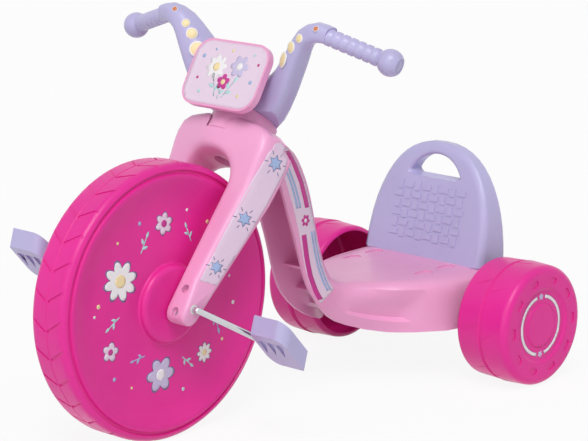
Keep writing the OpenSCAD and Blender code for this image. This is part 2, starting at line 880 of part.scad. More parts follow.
module cap_screw_places() {
    for (side = [-1, 1], s = cap_screw_shares)
        translate([screw_seat_n, side * (fork_gap + fork_leg_w) / 2, s * fork_leg_depth])
            rotate([0, 90, 0])
                children();
}

module cap_screw_holes() {
    cap_screw_places()
        union() {
            cylinder(d = screw_well_d, h = fork_leg_depth);
            translate([0, 0, -screw_head_h])
                cylinder(d = screw_head_d, h = fork_leg_depth);
            translate([0, 0, -fork_leg_depth * screw_in_share])
                cylinder(d = screw_d, h = fork_leg_depth);
        }
}

neck_half_share = 0.53;
neck_half_angle = asin(neck_w * neck_half_share / head_r);
swing_ease = 2;
swing_max = 88;
// Room for the head and for the neck's swing behind it
module head_room() {
    sweep = min(neck_half_angle + steer_limit + swing_ease, swing_max);
    far = 3 * head_r;
    translate([0, 0, head_foot_t])
        union() {
            cylinder(r = head_r + head_ease, h = head_h);
            linear_extrude(head_h)
                polygon([[0, 0], [-far * cos(sweep), far * sin(sweep)], [-far, far],
                    [-far, -far], [-far * cos(sweep), -far * sin(sweep)]]);
        }
}

module fork() {
    color("pink")
        steered()
            difference() {
                loft(fork_rings);
                head_room();
                translate([0, 0, arch_t - over])
                    cylinder(r = post_r, h = crown_t + 2 * over);
                translate([0, 0, arch_t - fork_gap])
                    cylinder(r = post_head_r, h = fork_gap + post_head_sink + post_head_t + over);
                cap_zone(1);
                cap_zone(-1);
                crank_bores();
                cap_screw_holes();
            }
}

module axle_cap(side) {
    color("pink")
        steered()
            difference() {
                intersection() {
                    loft(side > 0 ? leg_rings
                        : [for (i = [len(leg_rings) - 1 : -1 : 0]) mirror_y(leg_rings[i])]);
                    cap_zone(side);
                }
                crank_bores();
                cap_screw_holes();
            }
}
module axle_cap_left() { axle_cap(1); }
module axle_cap_right() { axle_cap(-1); }

module cap_screws() {
    color("dimgray")
        steered()
            cap_screw_places()
                union() {
                    translate([0, 0, -screw_head_h])
                        cylinder(d = screw_head_d, h = screw_head_h);
                    translate([0, 0, -fork_leg_depth * screw_in_share])
                        cylinder(d = screw_d, h = fork_leg_depth * screw_l_share);
                }
}

module crank_bush(side) {
    color("white")
        at_front_axle()
            along_y(side)
                translate([0, 0, fork_gap / 2])
                    tube(crank_rad + bush_wall, crank_rad + run, fork_leg_w);
}
module crank_bush_left() { crank_bush(1); }
module crank_bush_right() { crank_bush(-1); }

// Steering post, from the arch of the fork up into the handlebar

bar_base_h = 34;
module steering_post() {
    color("silver")
        steered()
            union() {
                translate([0, 0, arch_t + post_head_sink + over])
                    cylinder(r = post_head_r, h = post_head_t);
                translate([0, 0, arch_t + post_head_sink + over])
                    cylinder(r = post_r,
                        h = head_top_t + bar_base_h + washer_t + nut_h - arch_t - post_head_sink);
            }
}

nut_share = 1.5;
nut_r = post_r * nut_share;
module post_washer() {
    color("silver")
        steered()
            translate([0, 0, head_top_t + bar_base_h])
                tube(nut_r, post_r + snug, washer_t);
}

module post_nut() {
    color("silver")
        steered()
            translate([0, 0, head_top_t + bar_base_h + washer_t])
                difference() {
                    cylinder(r = nut_r, h = nut_h, $fn = 6);
                    translate([0, 0, -over])
                        cylinder(r = post_r + snug, h = nut_h + 2 * over);
                }
}

// Handlebar: two blades that rise from a deep foot to bent grips

// Rows: across as a share of half the bend span, forward and up as shares of the
// rise, lean of the section in degrees, half width and half depth as shares of the
// grip's diameter, turn of its width forward and of its depth outward in degrees
bar_rows = [
    [0, -0.05, 0.08, 90, 1.55, 1.2, 0, 0],
    [0.2, -0.05, 0.13, 72, 1.55, 1.18, 4, 8],
    [0.385, -0.03, 0.29, 48, 1.3, 1.12, 12, 9],
    [0.55, -0.01, 0.49, 32, 0.98, 1.03, 18, 8],
    [0.71, 0.018, 0.74, 36, 0.73, 0.88, 20, 2],
    [0.84, 0.042, 0.93, 54, 0.6, 0.68, 14, 0],
    [1, 0.05, 1, 88, 0.56, 0.56, 4, 0],
    [1.14, 0.02, 0.975, 105, 0.5, 0.5, 0, 0]];
bar_steps = 2;
bar_e = 2.8;
grip_drop = 17.2;
grip_sweep = 14.5;

function bar_ring(r, side) =
    let (
        in = [0, -side * cos(r[3]), sin(r[3])],
        fore = [1, 0, 0]
    )
    ring([r[1] * bar_rise, side * r[0] * bar_bend_span / 2, r[2] * bar_rise],
        in * cos(r[6]) - fore * sin(r[6]), fore * cos(r[7]) - in * sin(r[7]),
        r[4] * grip_d, r[5] * grip_d, bar_e);

bar_half = len(bar_rows) - 1;
bar_path = [for (k = [-bar_half * bar_steps : bar_half * bar_steps])
    bar_ring(spline(bar_rows, abs(k) / bar_steps), sign(k + 0.1))];

rib_h = 1.3;
grip_start_share = 0.12;
knob_neck_share = 0.42;
knob_flat_share = 0.1;
rib_shares = [0, 0.25, 0.7, 0.85];
// A grip with its ribs and knob, turned about its axis from the bend outward
module grip() {
    r = grip_d / 2 - rib_h;
    z0 = grip_l * grip_start_share;
    z1 = grip_l - knob_d * knob_neck_share;
    pitch = (z1 - z0) / grip_ribs;
    rotate_extrude()
        polygon(concat(
            [[0, z0]],
            [for (i = [0 : grip_ribs - 1])
                each [for (k = [0 : len(rib_shares) - 1])
                    [r + (k == 1 || k == 2 ? rib_h : 0), z0 + (i + rib_shares[k]) * pitch]]],
            arc(0, grip_l, knob_d / 2, -50, 50, 2 * arc_n),
            arc(0, grip_l - knob_d * knob_flat_share, knob_d / 2, 62, 90, arc_n)));
}

module at_grip(side) {
    translate([bar_rows[6][1] * bar_rise, side * bar_bend_span / 2, bar_rows[6][2] * bar_rise])
        rotate([-side * (90 + grip_drop), 0, 0])
            rotate([0, -grip_sweep, 0])
                children();
}

plate_x_share = 0.283;
plate_z_share = 0.475;
plate_corner_share = 0.27;
boss_y_share = 0.15;
boss_y = plate_w * boss_y_share;
boss_z_share = 0.3;
plate_boss_z = bar_rise * boss_z_share;
plate_boss_r = 7;
boss_x_share = 0.03;
plate_boss_x = bar_rise * boss_x_share;
plate_boss_l = plate_x_share * bar_rise - plate_boss_x
    + (plate_z_share * bar_rise - plate_boss_z) * tan(plate_lean);
module plate_boss_places() {
    for (side = [-1, 1])
        translate([plate_boss_x, side * boss_y, plate_boss_z])
            rotate([0, 90, 0])
                children();
}

module handlebar() {
    color("plum")
        on_bar()
            difference() {
                union() {
                    loft(bar_path);
                    for (side = [-1, 1])
                        at_grip(side)
                            grip();
                }
                plate_boss_places()
                    cylinder(r = plate_boss_r + snug, h = bar_rise);
                plate_screw_holes();
                rotate([0, -rake, 0]) {
                    translate([-bar_rise, -bar_bend_span, gap - 2 * bar_rise])
                        cube([2 * bar_rise, 2 * bar_bend_span, 2 * bar_rise]);
                    translate([0, 0, -over])
                        cylinder(r = post_r, h = bar_rise);
                    translate([0, 0, bar_base_h])
                        cylinder(r = nut_r + over, h = bar_rise);
                }
            }
}

module plate_screw_holes() {
    plate_boss_places()
        translate([0, 0, -screw_sink])
            union() {
                cylinder(d = screw_d, h = bar_rise);
                translate([0, 0, -bar_rise])
                    cylinder(d = screw_head_d, h = bar_rise);
            }
}

module plate_screws() {
    color("dimgray")
        on_bar()
            plate_boss_places()
                translate([0, 0, -screw_sink])
                    union() {
                        translate([0, 0, -screw_head_h])
                            cylinder(d = screw_head_d, h = screw_head_h);
                        cylinder(d = screw_d, h = 3 * screw_sink);
                    }
}

rim_w = 4;
rim_depth = 1.5;
module front_plate() {
    color("hotpink")
        on_bar()
            difference() {
                union() {
                    translate([plate_x_share * bar_rise, 0, plate_z_share * bar_rise])
                        rotate([0, -plate_lean, 0])
                            rotate([90, 0, 90])
                                difference() {
                                    linear_extrude(plate_t, center = true)
                                        rounded_rect(plate_w, plate_h, plate_h * plate_corner_share);
                                    translate([0, 0, plate_t / 2 - rim_depth])
                                        linear_extrude(plate_t)
                                            rounded_rect(plate_w - 2 * rim_w, plate_h - 2 * rim_w,
                                                plate_h * plate_corner_share - rim_w);
                                }
                    plate_boss_places()
                        translate([0, 0, snug])
                            cylinder(r = plate_boss_r, h = plate_boss_l);
                }
                plate_boss_places()
                    translate([0, 0, -over])
                        cylinder(d = screw_d, h = 2 * screw_sink + over);
            }
}

// Front wheel: two halves on a drive key and the crank

front_hw = front_wheel_w / 2;
// Outside of a half from the tread to the disc, then its inside: shares of the
// radius and of the half width
tread_shares = [[1, 0.62], [0.995, 0.75], [0.982, 0.85], [0.965, 0.915], [0.953, 0.93],
    [0.944, 0.85], [0.93, 0.86], [0.921, 0.97], [0.903, 1], [0.883, 0.97], [0.85, 0.92],
    [0.8, 0.845], [0.755, 0.795], [0.71, 0.77], [0.65, 0.765], [0.5, 0.81], [0.36, 0.87]];
inside_shares = [[0.33, 0.73], [0.5, 0.67], [0.65, 0.62], [0.71, 0.63], [0.79, 0.71],
    [0.86, 0.83], [0.895, 0.86], [0.93, 0.72], [0.96, 0.73], [0.979, 0.6]];
hub_share = 0.283;
hub_r = front_r * hub_share;
hub_round = 8;
hub_foot = 3.5;
hub_top_z = fork_gap / 2 - over;
flange_r = 40;
flange_h = 9;
key_l = 70;
key_w = 12;
key_t = 8;
crank_hub_r = crank_rad + wheel_wall + bush_wall;

module front_half_profile() {
    disc_z = tread_shares[len(tread_shares) - 1][1] * front_hw;
    disc_in_z = inside_shares[0][1] * front_hw;
    polygon(concat(
        [[front_r - over, 0], [front_r, over]],
        [for (p = tread_shares) [p[0] * front_r, p[1] * front_hw]],
        arc(hub_r + hub_foot, disc_z + hub_foot, hub_foot, 270, 180, arc_n),
        arc(hub_r - hub_round, hub_top_z - hub_round, hub_round, 0, 90, arc_n),
        [[crank_rad + snug, hub_top_z], [crank_rad + snug, 0], [flange_r, 0], [flange_r, flange_h],
            [crank_hub_r, flange_h], [crank_hub_r, hub_top_z - wheel_wall]],
        arc(hub_r - hub_round, hub_top_z - hub_round, hub_round - wheel_wall, 90, 0, arc_n),
        [[hub_r - wheel_wall, disc_in_z]],
        [for (p = inside_shares) [p[0] * front_r, p[1] * front_hw]],
        [[inside_shares[len(inside_shares) - 1][0] * front_r, 0]]));
}

groove_w = 3.5;
groove_depth = 1.5;
groove_share = 0.8;
groove_slant = 32;
module front_half(side) {
    color("deeppink")
        at_front_axle()
            along_y(side)
                difference() {
                    rotate_extrude()
                        front_half_profile();
                    grooves(front_grooves, front_r, 2 * over, groove_share * front_hw, groove_w,
                        groove_depth, groove_slant * side);
                    cube([key_l, key_w, key_t], center = true);
                }
}
module front_wheel_left() { front_half(1); }
module front_wheel_right() { front_half(-1); }

module drive_key() {
    color("silver")
        at_front_axle()
            difference() {
                cube([key_l, key_t, key_w], center = true);
                along_y(1)
                    cylinder(r = crank_rad + snug, h = 2 * key_t, center = true);
            }
}

// A rod of radius r from p to q
module rod(p, q, r) {
    d = q - p;
    translate(p)
        rotate([0, acos(d[2] / norm(d)), atan2(d[1], d[0])])
            cylinder(r = r, h = norm(d));
}

crank_clear = 6;
crank_out = fork_out + crank_clear;
elbow_share = 1.05;
elbow_r = crank_rad * elbow_share;
elbow_room = 4;
function pedal_y(side) = side > 0 ? pedal_left_y : pedal_right_y;
function spindle_in(side) = pedal_y(side) - pedal_l / 2 - elbow_room;
function pedal_end(side) = pedal_y(side) + pedal_l / 2;
pedal_cap_t = 3;
pedal_cap_r = 7.5;
pedal_nut_share = 1.3;
pedal_nut_h = 4;
pocket_h = pedal_cap_t + pedal_nut_h + 3 * gap;
function spindle_out(side) = pedal_end(side) - pedal_cap_t - gap;
function crank_point(side, y) =
    side * [crank_r * cos(crank_angle), y, crank_r * sin(crank_angle)];

module crank() {
    color("silver")
        at_front_axle()
            union() {
                rod([0, -crank_out, 0], [0, crank_out, 0], crank_rad);
                for (side = [-1, 1]) {
                    translate([0, side * crank_out, 0])
                        sphere(elbow_r);
                    rod([0, side * crank_out, 0], crank_point(side, spindle_in(side)), crank_rad);
                    translate(crank_point(side, spindle_in(side)))
                        sphere(elbow_r);
                    rod(crank_point(side, spindle_in(side)), crank_point(side, spindle_out(side)),
                        crank_rad);
                }
            }
}

pedal_corner = 4;
pedal_round = 17;
window_depth = 3;
windows = 3;

// The outline of a pedal along its walls, with two opposite corners well rounded
module pedal_outline() {
    intersection() {
        rounded_rect(pedal_w, pedal_l, pedal_corner);
        union() {
            rounded_rect(pedal_w, pedal_l, pedal_round);
            for (k = [-1, 1])
                translate([k * pedal_w / 4, -k * pedal_l / 4])
                    square([pedal_w / 2, pedal_l / 2], center = true);
        }
    }
}

module at_pedal(side) {
    at_front_axle()
        translate(crank_point(side, pedal_y(side)))
            children();
}

module pedal(side) {
    color("plum")
        at_pedal(side)
            difference() {
                intersection() {
                    rotate([0, -pedal_wall_lean, 0])
                        linear_extrude(2 * pedal_w, center = true)
                            pedal_outline();
                    rotate([0, -pedal_lean, 0])
                        translate([0, 0, pedal_rise])
                            cube([3 * pedal_w, 2 * pedal_l, pedal_t], center = true);
                }
                along_y(1)
                    cylinder(r = crank_rad + run, h = pedal_l + 2 * over, center = true);
                along_y(side)
                    translate([0, 0, pedal_l / 2 - pocket_h])
                        cylinder(r = pedal_cap_r, h = 2 * pocket_h);
                rotate([0, -pedal_lean, 0])
                    for (face = [-1, 1])
                        translate([0, 0, face * pedal_t / 2 + pedal_rise])
                            linear_extrude(2 * window_depth, center = true)
                                pedal_windows();
            }
}

window_share = 0.26;
module pedal_windows() {
    pitch = (pedal_l - 3 * pedal_corner) / windows;
    half = pitch / 2 - over;
    reach = pedal_w * window_share;
    for (i = [0 : windows - 1])
        translate([0, (i - (windows - 1) / 2) * pitch])
            polygon([[-reach, -half], [reach, -half], [reach, half]]);
}
module pedal_left() { pedal(1); }
module pedal_right() { pedal(-1); }

module pedal_nuts() {
    color("silver")
        at_front_axle()
            for (side = [-1, 1])
                translate(crank_point(side, pedal_end(side) - pocket_h + gap))
                    along_y(side)
                        tube(pedal_nut_share * crank_rad, crank_rad + snug, pedal_nut_h);
}

module pedal_cap(side) {
    color("plum")
        at_front_axle()
            translate(crank_point(side, pedal_end(side) - pedal_cap_t))
                along_y(side)
                    cylinder(r = pedal_cap_r - snug, h = pedal_cap_t);
}
module pedal_cap_left() { pedal_cap(1); }
module pedal_cap_right() { pedal_cap(-1); }

body();
head_bush_upper();
head_bush_lower();
seat_back();
seat_screws();
rear_axle();
axle_bush_left();
axle_bush_right();
axle_washers();
axle_push_nuts();
rear_wheel_left_outer();
rear_wheel_left_inner();
rear_cap_left();
rear_wheel_right_outer();
rear_wheel_right_inner();
rear_cap_right();
fork();
axle_cap_left();
axle_cap_right();
cap_screws();
crank_bush_left();
crank_bush_right();
steering_post();
post_washer();
post_nut();
handlebar();
front_plate();
plate_screws();
front_wheel_left();
front_wheel_right();
drive_key();
crank();
pedal_nuts();
pedal_left();
pedal_cap_left();
pedal_right();
pedal_cap_right();
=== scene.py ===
"""Looks of a low rider tricycle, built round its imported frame.

Lengths are in metres, and in millimetres where MM multiplies them. X points forward,
Y to the rider's left, Z up.
"""

import json
import math

import bmesh
import bpy
from mathutils import Matrix, Vector
from mathutils.bvhtree import BVHTree


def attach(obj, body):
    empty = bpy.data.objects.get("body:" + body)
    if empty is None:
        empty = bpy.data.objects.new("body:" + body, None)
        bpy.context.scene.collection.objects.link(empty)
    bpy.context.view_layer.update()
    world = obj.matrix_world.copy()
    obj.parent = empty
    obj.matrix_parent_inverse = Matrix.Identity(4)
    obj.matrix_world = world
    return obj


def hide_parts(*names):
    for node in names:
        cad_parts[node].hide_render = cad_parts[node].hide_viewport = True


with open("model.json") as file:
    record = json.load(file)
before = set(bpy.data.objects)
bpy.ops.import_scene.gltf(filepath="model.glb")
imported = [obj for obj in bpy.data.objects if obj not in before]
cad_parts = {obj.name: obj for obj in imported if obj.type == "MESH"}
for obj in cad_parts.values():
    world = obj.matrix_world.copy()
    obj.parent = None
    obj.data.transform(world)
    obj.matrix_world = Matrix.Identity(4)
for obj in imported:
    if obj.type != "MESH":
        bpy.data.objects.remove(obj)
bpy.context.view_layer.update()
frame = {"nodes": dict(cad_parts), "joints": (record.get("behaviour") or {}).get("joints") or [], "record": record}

MM = 0.001
JOINTS = {j["name"]: j for j in frame["joints"]}
FRONT_AXLE = Vector(JOINTS["front_wheel_spin"]["pos_m"])
REAR_WHEEL = Vector(JOINTS["left_rear_wheel_spin"]["pos_m"])
STEER_UP = Vector(JOINTS["steering"]["axis"]).normalized()
STEER_FORE = Vector((STEER_UP.z, 0, -STEER_UP.x))
BODY_OF = {n: b for b, ns in frame["record"]["behaviour"]["bodies"].items() for n in ns}
SLOT_OF = {s["node"]: s["material_slot"] for s in frame["record"]["subparts"]}

# Colours, as linear values
FRAME_PINK = (0.84, 0.37, 0.62, 1)
WHEEL_PINK = (0.78, 0.024, 0.31, 1)
LAVENDER = (0.49, 0.455, 0.72, 1)
NYLON = (0.80, 0.80, 0.77, 1)
ZINC = (0.55, 0.56, 0.58, 1)
CHROME = (0.62, 0.63, 0.66, 1)
CREAM = (0.88, 0.72, 0.40, 1)
ORANGE = (0.62, 0.19, 0.07, 1)
PAPER = (0.78, 0.63, 0.77, 1)
HAZE = (0.74, 0.57, 0.73, 1)
LILAC = (0.58, 0.52, 0.74, 1)
SKY = (0.36, 0.47, 0.74, 1)
MINT = (0.46, 0.72, 0.74, 1)
WHITE = (0.86, 0.84, 0.86, 1)
BERRY = (0.56, 0.03, 0.28, 1)
INK = (0.16, 0.13, 0.28, 1)


# Materials

# Share of light that enters the plastic, and how far it spreads in each colour
SKIN_DEPTH = 0.06
SKIN_RADIUS = (4 * MM, 2 * MM, 3 * MM)
COAT = 0.1
COAT_ROUGH = 0.2


def new_material(name):
    """A node material, its tree and its output shader."""
    mat = bpy.data.materials.new(name)
    mat.use_nodes = True
    tree = mat.node_tree
    return mat, tree, tree.nodes["Principled BSDF"]


def noise(tree, scale, detail=2.0):
    """A noise texture on object coordinates, so that it stays on its piece."""
    coords = tree.nodes.new("ShaderNodeTexCoord")
    node = tree.nodes.new("ShaderNodeTexNoise")
    node.inputs["Scale"].default_value = scale
    node.inputs["Detail"].default_value = detail
    tree.links.new(coords.outputs["Object"], node.inputs["Vector"])
    return node.outputs["Fac"]


def ramp(tree, fac, low, high, at=(0.3, 0.7)):
    """A two-colour ramp of a value."""
    node = tree.nodes.new("ShaderNodeValToRGB")
    for element, place, colour in zip(node.color_ramp.elements, at, (low, high)):
        element.position = place
        element.color = colour
    tree.links.new(fac, node.inputs["Fac"])
    return node.outputs["Color"]


def shade(colour, k):
    return tuple(min(c * k, 1) for c in colour[:3]) + (1,)


def grey(value):
    return (value, value, value, 1)


def bump(tree, shader, height, strength, distance):
    node = tree.nodes.new("ShaderNodeBump")
    node.inputs["Strength"].default_value = strength
    node.inputs["Distance"].default_value = distance
    tree.links.new(height, node.inputs["Height"])
    tree.links.new(node.outputs["Normal"], shader.inputs["Normal"])


def plastic(name, colour, rough=(0.32, 0.42), spread=0.04, grain=0.10, gleam=1):
    """Blow-moulded plastic: slight cloudiness, scuffed gloss and a fine orange peel.

    A gleam under 1 takes that share of the surface's reflection.
    """
    mat, tree, shader = new_material(name)
    cloud = ramp(tree, noise(tree, 9, 3), shade(colour, 1 - spread), shade(colour, 1 + spread))
    tree.links.new(cloud, shader.inputs["Base Color"])
    gloss = ramp(tree, noise(tree, 55, 5), grey(rough[0]), grey(rough[1]))
    tree.links.new(gloss, shader.inputs["Roughness"])
    bump(tree, shader, noise(tree, 650, 2), grain, 0.2 * MM)
    shader.inputs["Subsurface Weight"].default_value = SKIN_DEPTH
    shader.inputs["Subsurface Radius"].default_value = SKIN_RADIUS
    shader.inputs["Specular IOR Level"].default_value = 0.5 * gleam
    shader.inputs["Coat Weight"].default_value = COAT * gleam
    shader.inputs["Coat Roughness"].default_value = COAT_ROUGH
    return mat


def metal(name, colour, rough, scratch):
    """Plated steel, with fine scratches in its gloss."""
    mat, tree, shader = new_material(name)
    shader.inputs["Metallic"].default_value = 1
    tint = ramp(tree, noise(tree, 30, 4), shade(colour, 0.93), shade(colour, 1.05))
    tree.links.new(tint, shader.inputs["Base Color"])
    gloss = ramp(tree, noise(tree, 240, 6), grey(rough), grey(rough + scratch))
    tree.links.new(gloss, shader.inputs["Roughness"])
    bump(tree, shader, noise(tree, 900, 3), 0.05, 0.1 * MM)
    return mat


def film(name, colour):
    """A printed vinyl sticker: even ink over a faint dot of print, and a soft gloss."""
    mat, tree, shader = new_material(name)
    ink = ramp(tree, noise(tree, 700, 1), shade(colour, 0.97), shade(colour, 1.03))
    tree.links.new(ink, shader.inputs["Base Color"])
    gloss = ramp(tree, noise(tree, 80, 3), grey(0.36), grey(0.44))
    tree.links.new(gloss, shader.inputs["Roughness"])
    bump(tree, shader, noise(tree, 500, 2), 0.04, 0.1 * MM)
    return mat


MATERIALS = {
    "frame_pink": plastic("frame_pink", FRAME_PINK),
    "wheel_pink": plastic("wheel_pink", WHEEL_PINK, rough=(0.28, 0.38), gleam=0.6),
    "lavender": plastic("lavender", LAVENDER),
    "bush": plastic("bush", NYLON, rough=(0.45, 0.55)),
    "steel": metal("steel", ZINC, 0.30, 0.14),
    "chrome": metal("chrome", CHROME, 0.08, 0.10),
}
FILMS = {
    "paper": film("film_paper", PAPER),
    "haze": film("film_haze", HAZE),
    "lilac": film("film_lilac", LILAC),
    "sky": film("film_sky", SKY),
    "mint": film("film_mint", MINT),
    "white": film("film_white", WHITE),
    "berry": film("film_berry", BERRY),
    "cream": film("film_cream", CREAM),
    "orange": film("film_orange", ORANGE),
    "ink": film("film_ink", INK),
}

for node_name, node_obj in frame["nodes"].items():
    node_obj.data.materials.clear()
    node_obj.data.materials.append(MATERIALS[SLOT_OF[node_name]])


# Moulded pieces: each shows its CAD node's shape with rounded, smooth-shaded edges

SHELLS = {}
WELD = 0.01 * MM
FLAT_ANGLE = math.radians(0.03)
# Edges sharper than this are rounded, the seat back's weave being softer
SOFT_ANGLE = math.radians(38)
WEAVE_ANGLE = math.radians(62)
EDGE = 0.7 * MM
EDGE_STEPS = 2
ROLL_STEPS = 5
# The hand hole's half width and its foot and top, with some room, and its rolled edge
HOLE_HALF = 49 * MM
HOLE_FOOT, HOLE_TOP = 269 * MM, 306 * MM
HOLE_ROLL = 6 * MM
HOLE_ANGLE = math.radians(80)
# The steering head's foot, up the steering axis, and its radius, with some room, and its rolled edge
HEAD_FOOT = 247.5 * MM
HEAD_REACH = 44 * MM
HEAD_ROLL = 2 * MM
HEAD_ANGLE = math.radians(60)


def in_hole(edge):
    """Whether an edge of the seat back is one of the hand hole's."""
    middle = (edge.verts[0].co + edge.verts[1].co) / 2
    return (abs(middle.y) < HOLE_HALF and HOLE_FOOT < middle.z < HOLE_TOP
            and edge.calc_face_angle(0) > HOLE_ANGLE)


def on_head_foot(edge):
    """Whether an edge of the frame is on the rim of the steering head's foot."""
    for vert in edge.verts:
        away = vert.co - FRONT_AXLE
        up = away.dot(STEER_UP)
        if abs(up - HEAD_FOOT) > MM or (away - STEER_UP * up).length < HEAD_REACH:
            return False
    return edge.calc_face_angle(0) > HEAD_ANGLE


def roll(bm, wanted, width):
    """Rounds the edges that a test wants."""
    bmesh.ops.bevel(bm, geom=[e for e in bm.edges if wanted(e)], offset=width, offset_type="OFFSET",
                    segments=ROLL_STEPS, profile=0.5, affect="EDGES", clamp_overlap=False)


def shell(node, soft=SOFT_ANGLE):
    """A copy of a CAD node with its facets smoothed and its sharp edges rounded."""
    mesh = frame["nodes"][node].data.copy()
    obj = bpy.data.objects.new("shell_" + node, mesh)
    bpy.context.scene.collection.objects.link(obj)
    bm = bmesh.new()
    bm.from_mesh(mesh)
    bmesh.ops.remove_doubles(bm, verts=bm.verts, dist=WELD)
    bmesh.ops.dissolve_limit(bm, angle_limit=FLAT_ANGLE, verts=bm.verts, edges=bm.edges)
    if node == "seat_back":
        roll(bm, in_hole, HOLE_ROLL)
    if node == "body":
        roll(bm, on_head_foot, HEAD_ROLL)
    for face in bm.faces:
        face.smooth = True
    bm.to_mesh(mesh)
    bm.free()
    mesh.set_sharp_from_angle(angle=soft)
    edge = obj.modifiers.new("edge", "BEVEL")
    edge.width = EDGE
    edge.segments = EDGE_STEPS
    edge.limit_method = "ANGLE"
    edge.angle_limit = soft
    normals = obj.modifiers.new("normals", "WEIGHTED_NORMAL")
    normals.keep_sharp = True
    mesh.materials.clear()
    mesh.materials.append(MATERIALS[SLOT_OF[node]])
    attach(obj, BODY_OF[node])
    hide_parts(node)
    SHELLS[node] = obj


for shown in ("body", "fork", "axle_cap_left", "axle_cap_right", "handlebar",
              "front_plate", "front_wheel_left", "front_wheel_right", "crank",
              "pedal_left", "pedal_right", "rear_wheel_left_outer", "rear_wheel_left_inner",
              "rear_wheel_right_outer", "rear_wheel_right_inner", "rear_cap_left",
              "rear_cap_right"):
    shell(shown)
shell("seat_back", WEAVE_ANGLE)


# Stickers: flat outlines in millimetres, laid on the surface that carries them

# How far a ray looks for the surface on each side
REACH = 0.3
STICKER_T = 0.15 * MM
# How far each layer of print lies above the surface, in millimetres
LIFT_RIM = 0.15
LIFT_BASE = 0.2
LIFT_PETAL = 0.25
LIFT_INK = 0.3
LIFT_STRIPE = 0.33
LIFT_DOT = 0.35
LIFT_EYE = 0.38
LIFT_STAR = 0.4


def surface_of(pieces):
    """One search tree over the final meshes of some pieces, in the row frame."""
    bpy.context.view_layer.update()
    graph = bpy.context.evaluated_depsgraph_get()
    points, faces = [], []
    for piece in pieces:
        final = piece.evaluated_get(graph)
        mesh = final.to_mesh()
        start = len(points)
        points += [piece.matrix_world @ v.co for v in mesh.vertices]
        faces += [[start + i for i in p.vertices] for p in mesh.polygons]
        final.to_mesh_clear()
    return BVHTree.FromPolygons(points, faces)


class Sticker:
    """Motifs that are laid on a surface along one direction, as one thin piece."""

    def __init__(self, name, node, place, look, cell=3.0):
        """place maps (u, v) to a point, look is the ray's direction, cell the mesh's size."""
        self.name = name
        self.body = BODY_OF[node]
        self.slot = SLOT_OF[node]
        self.tree = surface_of([SHELLS[node]])
        self.place = place
        self.look = Vector(look).normalized()
        self.cell = cell
        self.bm = bmesh.new()
        self.films = []

    def index(self, film_name):
        if film_name not in self.films:
            self.films.append(film_name)
        return self.films.index(film_name)

    def add(self, outline, film_name, lift=LIFT_BASE):
        """Lays a closed outline of (u, v) points, lift above the surface."""
        part = bmesh.new()
        part.faces.new([part.verts.new((u, v, 0)) for u, v in outline])
        for axis in (0, 1):
            low = min(p[axis] for p in outline)
            high = max(p[axis] for p in outline)
            cuts = int((high - low) / self.cell)
            normal = Vector((1, 0, 0)) if axis == 0 else Vector((0, 1, 0))
            for i in range(1, cuts + 1):
                cut = low + (high - low) * i / (cuts + 1)
                bmesh.ops.bisect_plane(part, geom=part.verts[:] + part.edges[:] + part.faces[:],
                                       plane_co=normal * cut, plane_no=normal)
        bmesh.ops.triangulate(part, faces=part.faces[:])
        index = self.index(film_name)
        seen = {}
        for vert in part.verts:
            point = self.place(vert.co.x, vert.co.y)
            hit = self.tree.ray_cast(point - self.look * REACH, self.look, 2 * REACH)
            if hit[0] is not None:
                seen[vert] = self.bm.verts.new(hit[0] - self.look * lift * MM)
        for face in part.faces:
            if all(v in seen for v in face.verts):
                new = self.bm.faces.new([seen[v] for v in face.verts])
                new.material_index = index
                new.smooth = True
        part.free()

    def done(self):
        """Makes the piece, with its films and thickness, and lets it ride its body."""
        mesh = bpy.data.meshes.new(self.name)
        bmesh.ops.recalc_face_normals(self.bm, faces=self.bm.faces)
        for face in self.bm.faces:
            if face.normal.dot(self.look) > 0:
                face.normal_flip()
        self.bm.to_mesh(mesh)
        self.bm.free()
        for film_name in self.films:
            mesh.materials.append(FILMS[film_name])
        obj = bpy.data.objects.new(self.name, mesh)
        bpy.context.scene.collection.objects.link(obj)
        mod = obj.modifiers.new("thickness", "SOLIDIFY")
        mod.thickness = STICKER_T
        mod.offset = -1
        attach(obj, self.body)


def at(angle, distance, centre=(0, 0)):
    """A point at an angle, in degrees, and a distance from a centre."""
    a = math.radians(angle)
    return (centre[0] + distance * math.cos(a), centre[1] + distance * math.sin(a))


def polar(radius_at, n=48, centre=(0, 0), turn=0):
    """An outline whose radius is a function of the angle, in degrees."""
    return [at(360 * i / n + turn, radius_at(360 * i / n), centre) for i in range(n)]


def disc(r, centre=(0, 0), n=28):
    return polar(lambda a: r, n, centre)


def star(r, points, depth, centre, turn):
    """A star with straight sides."""
    n = 2 * points
    return [at(360 * i / n + turn, r * (depth if i % 2 else 1), centre) for i in range(n)]


def petals(r, count=6, centre=(0, 0), turn=0):
    """A daisy's outline."""
    return polar(lambda a: r * (0.62 + 0.38 * abs(math.cos(math.radians(a * count / 2)))),
                 12 * count, centre, turn)


def leaf(length, width, centre, turn):
    """A pointed leaf along its own axis."""
    n = 12
    side = [(length * (i / n - 0.5), width / 2 * math.sin(math.pi * i / n)) for i in range(n + 1)]
    loop = side + [(x, -y) for x, y in side[-2:0:-1]]
    c, s = math.cos(math.radians(turn)), math.sin(math.radians(turn))
    return [(centre[0] + x * c - y * s, centre[1] + x * s + y * c) for x, y in loop]


def bar(p, q, width):
    """A straight strip from p to q."""
    d = Vector((q[0] - p[0], q[1] - p[1]))
    n = Vector((-d.y, d.x)).normalized() * width / 2
    return [(p[0] + n.x, p[1] + n.y), (p[0] - n.x, p[1] - n.y),
            (q[0] - n.x, q[1] - n.y), (q[0] + n.x, q[1] + n.y)]


def arc_band(r0, r1, a0, a1, n=40):
    """Part of a ring between two angles, in degrees."""
    angles = [a0 + (a1 - a0) * i / n for i in range(n + 1)]
    return [at(a, r1) for a in angles] + [at(a, r0) for a in reversed(angles)]


